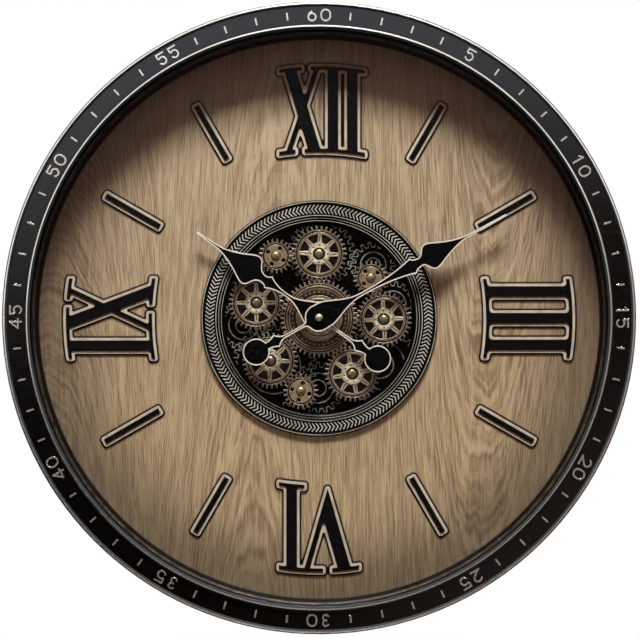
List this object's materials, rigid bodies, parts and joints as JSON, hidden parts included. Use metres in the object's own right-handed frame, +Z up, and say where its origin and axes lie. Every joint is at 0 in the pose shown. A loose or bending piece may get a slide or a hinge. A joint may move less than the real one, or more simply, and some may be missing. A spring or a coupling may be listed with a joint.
{
  "type": "gear wall clock",
  "caption": "Round wall clock with a wood dial, roman numerals, a minute-track bezel, glass front and a window of meshing gears turned by a small motor drive.",
  "frame": {"origin": "dial axis at the wall plane, on the rear face of the case band's flange", "axes": "+Y to the wall, so the dial faces -Y; +Z up (twelve o'clock); +X to the right as seen from the front"},
  "size_m": [0.5999, 0.0627, 0.6],
  "materials": {
    "black_metal": "satin black with rubbed silver edges",
    "band_metal": "satin",
    "steel": "zinc plated",
    "glass": "clear",
    "rubber": "matt",
    "spacer_black": "satin",
    "dial_wood": "light grained veneer",
    "numeral": "black with a cream band",
    "ring_bronze": "antique bronze and silver paint",
    "plate_black": "satin",
    "gear_bronze": "antique bronze paint",
    "brass": "satin",
    "hand_black": "black with a bright edge",
    "movement_black": "fine texture",
    "white_nylon": "moulded",
    "copper": "enamelled wire",
    "board_green": "lacquered",
    "cell": "printed jacket",
    "motor_steel": "plain"
  },
  "bodies": {
    "clock": {"bezel": "black_metal", "case_band": "band_metal", "hanger_plate": "steel", "glass_gasket": "rubber", "glass": "glass", "dial_spacer": "spacer_black", "dial_board": "dial_wood", "dial_brackets": "steel", "bracket_screws": "steel", "numeral_xii": "numeral", "numeral_iii": "numeral", "numeral_vi": "numeral", "numeral_ix": "numeral", "hour_batons": "numeral", "rope_ring": "ring_bronze", "gear_plate": "plate_black", "plate_screws": "steel", "gear_posts": "brass", "post_caps": "brass", "centre_sleeve": "brass", "nut_washer": "brass", "bush_nut": "brass", "drive_bush": "brass", "motor_can": "motor_steel", "drive_case": "movement_black", "drive_cover": "movement_black", "drive_screws": "steel", "drive_cells": "cell", "drive_contacts": "steel", "movement_pad": "rubber", "movement_front": "movement_black", "movement_back": "movement_black", "movement_bush": "brass", "movement_coil": "copper", "movement_board": "board_green", "movement_cell": "cell", "movement_contacts": "steel"},
    "centre_gear": {"centre_gear": "gear_bronze"},
    "top_gear": {"top_gear": "gear_bronze"},
    "right_gear": {"right_gear": "gear_bronze"},
    "driven_gear": {"lower_right_gear": "gear_bronze", "drive_arbor": "brass", "output_wheel": "white_nylon"},
    "lower_left_gear": {"lower_left_gear": "gear_bronze"},
    "left_gear": {"left_gear": "gear_bronze"},
    "upper_left_pinion": {"upper_left_pinion": "gear_bronze"},
    "upper_right_pinion": {"upper_right_pinion": "gear_bronze"},
    "lower_pinion": {"lower_pinion": "gear_bronze"},
    "idler": {"idler_gear": "white_nylon"},
    "rotor": {"motor_rotor": "motor_steel"},
    "minute": {"minute_hand": "hand_black", "hand_nut": "brass", "minute_arbor": "steel"},
    "hour": {"hour_hand": "hand_black", "hour_wheel": "white_nylon"},
    "minute_wheel": {"minute_wheel": "white_nylon"},
    "knob": {"setting_knob": "movement_black"},
    "battery_cover": {"battery_cover": "movement_black"}
  },
  "joints": [
    {"name": "centre_gear_spin", "type": "hinge", "parent": "clock", "child": "centre_gear", "pos_m": [0, 0, 0], "axis": [0, 1, 0], "continuous": true},
    {"name": "top_gear_spin", "type": "hinge", "parent": "clock", "child": "top_gear", "pos_m": [0, 0, 0.0615], "axis": [0, 1, 0], "continuous": true},
    {"name": "right_gear_spin", "type": "hinge", "parent": "clock", "child": "right_gear", "pos_m": [0.06149, 0, -0.00107], "axis": [0, 1, 0], "continuous": true},
    {"name": "driven_gear_spin", "type": "hinge", "parent": "clock", "child": "driven_gear", "pos_m": [0.03168, 0, -0.05272], "axis": [0, 1, 0], "continuous": true},
    {"name": "lower_left_gear_spin", "type": "hinge", "parent": "clock", "child": "lower_left_gear", "pos_m": [-0.04641, 0, -0.04035], "axis": [0, 1, 0], "continuous": true},
    {"name": "left_gear_spin", "type": "hinge", "parent": "clock", "child": "left_gear", "pos_m": [-0.05967, 0, 0.01488], "axis": [0, 1, 0], "continuous": true},
    {"name": "upper_left_pinion_spin", "type": "hinge", "parent": "clock", "child": "upper_left_pinion", "pos_m": [-0.04119, 0, 0.05934], "axis": [0, 1, 0], "continuous": true},
    {"name": "upper_right_pinion_spin", "type": "hinge", "parent": "clock", "child": "upper_right_pinion", "pos_m": [0.04915, 0, 0.03829], "axis": [0, 1, 0], "continuous": true},
    {"name": "lower_pinion_spin", "type": "hinge", "parent": "clock", "child": "lower_pinion", "pos_m": [-0.0174, 0, -0.06967], "axis": [0, 1, 0], "continuous": true},
    {"name": "idler_spin", "type": "hinge", "parent": "clock", "child": "idler", "pos_m": [0.03918, 0, -0.06571], "axis": [0, 1, 0], "continuous": true},
    {"name": "rotor_spin", "type": "hinge", "parent": "clock", "child": "rotor", "pos_m": [0.03168, 0, -0.0787], "axis": [0, 1, 0], "continuous": true},
    {"name": "minute_spin", "type": "hinge", "parent": "clock", "child": "minute", "pos_m": [0, 0, 0], "axis": [0, 1, 0], "continuous": true},
    {"name": "hour_spin", "type": "hinge", "parent": "clock", "child": "hour", "pos_m": [0, 0, 0], "axis": [0, 1, 0], "continuous": true},
    {"name": "minute_wheel_spin", "type": "hinge", "parent": "clock", "child": "minute_wheel", "pos_m": [0, 0, -0.012], "axis": [0, 1, 0], "continuous": true},
    {"name": "knob_spin", "type": "hinge", "parent": "clock", "child": "knob", "pos_m": [-0.012, 0, -0.012], "axis": [0, 1, 0], "continuous": true},
    {"name": "battery_cover_slide", "type": "slide", "parent": "clock", "child": "battery_cover", "axis": [-1, 0, 0], "range_m": [0, 0.056]}
  ],
  "couplings": [
    {"joint": "top_gear_spin", "follows": "centre_gear_spin", "ratio": -1.4118},
    {"joint": "right_gear_spin", "follows": "centre_gear_spin", "ratio": -1.4118},
    {"joint": "driven_gear_spin", "follows": "centre_gear_spin", "ratio": -1.4118},
    {"joint": "lower_left_gear_spin", "follows": "centre_gear_spin", "ratio": -1.4118},
    {"joint": "left_gear_spin", "follows": "centre_gear_spin", "ratio": -1.4118},
    {"joint": "upper_left_pinion_spin", "follows": "centre_gear_spin", "ratio": 2.2857},
    {"joint": "upper_right_pinion_spin", "follows": "centre_gear_spin", "ratio": 2.2857},
    {"joint": "lower_pinion_spin", "follows": "centre_gear_spin", "ratio": 2.2857},
    {"joint": "idler_spin", "follows": "centre_gear_spin", "ratio": 5.6471},
    {"joint": "rotor_spin", "follows": "centre_gear_spin", "ratio": -22.588},
    {"joint": "hour_spin", "follows": "minute_spin", "ratio": 0.083333},
    {"joint": "minute_wheel_spin", "follows": "minute_spin", "ratio": -0.33333},
    {"joint": "knob_spin", "follows": "minute_spin", "ratio": 1}
  ]
}
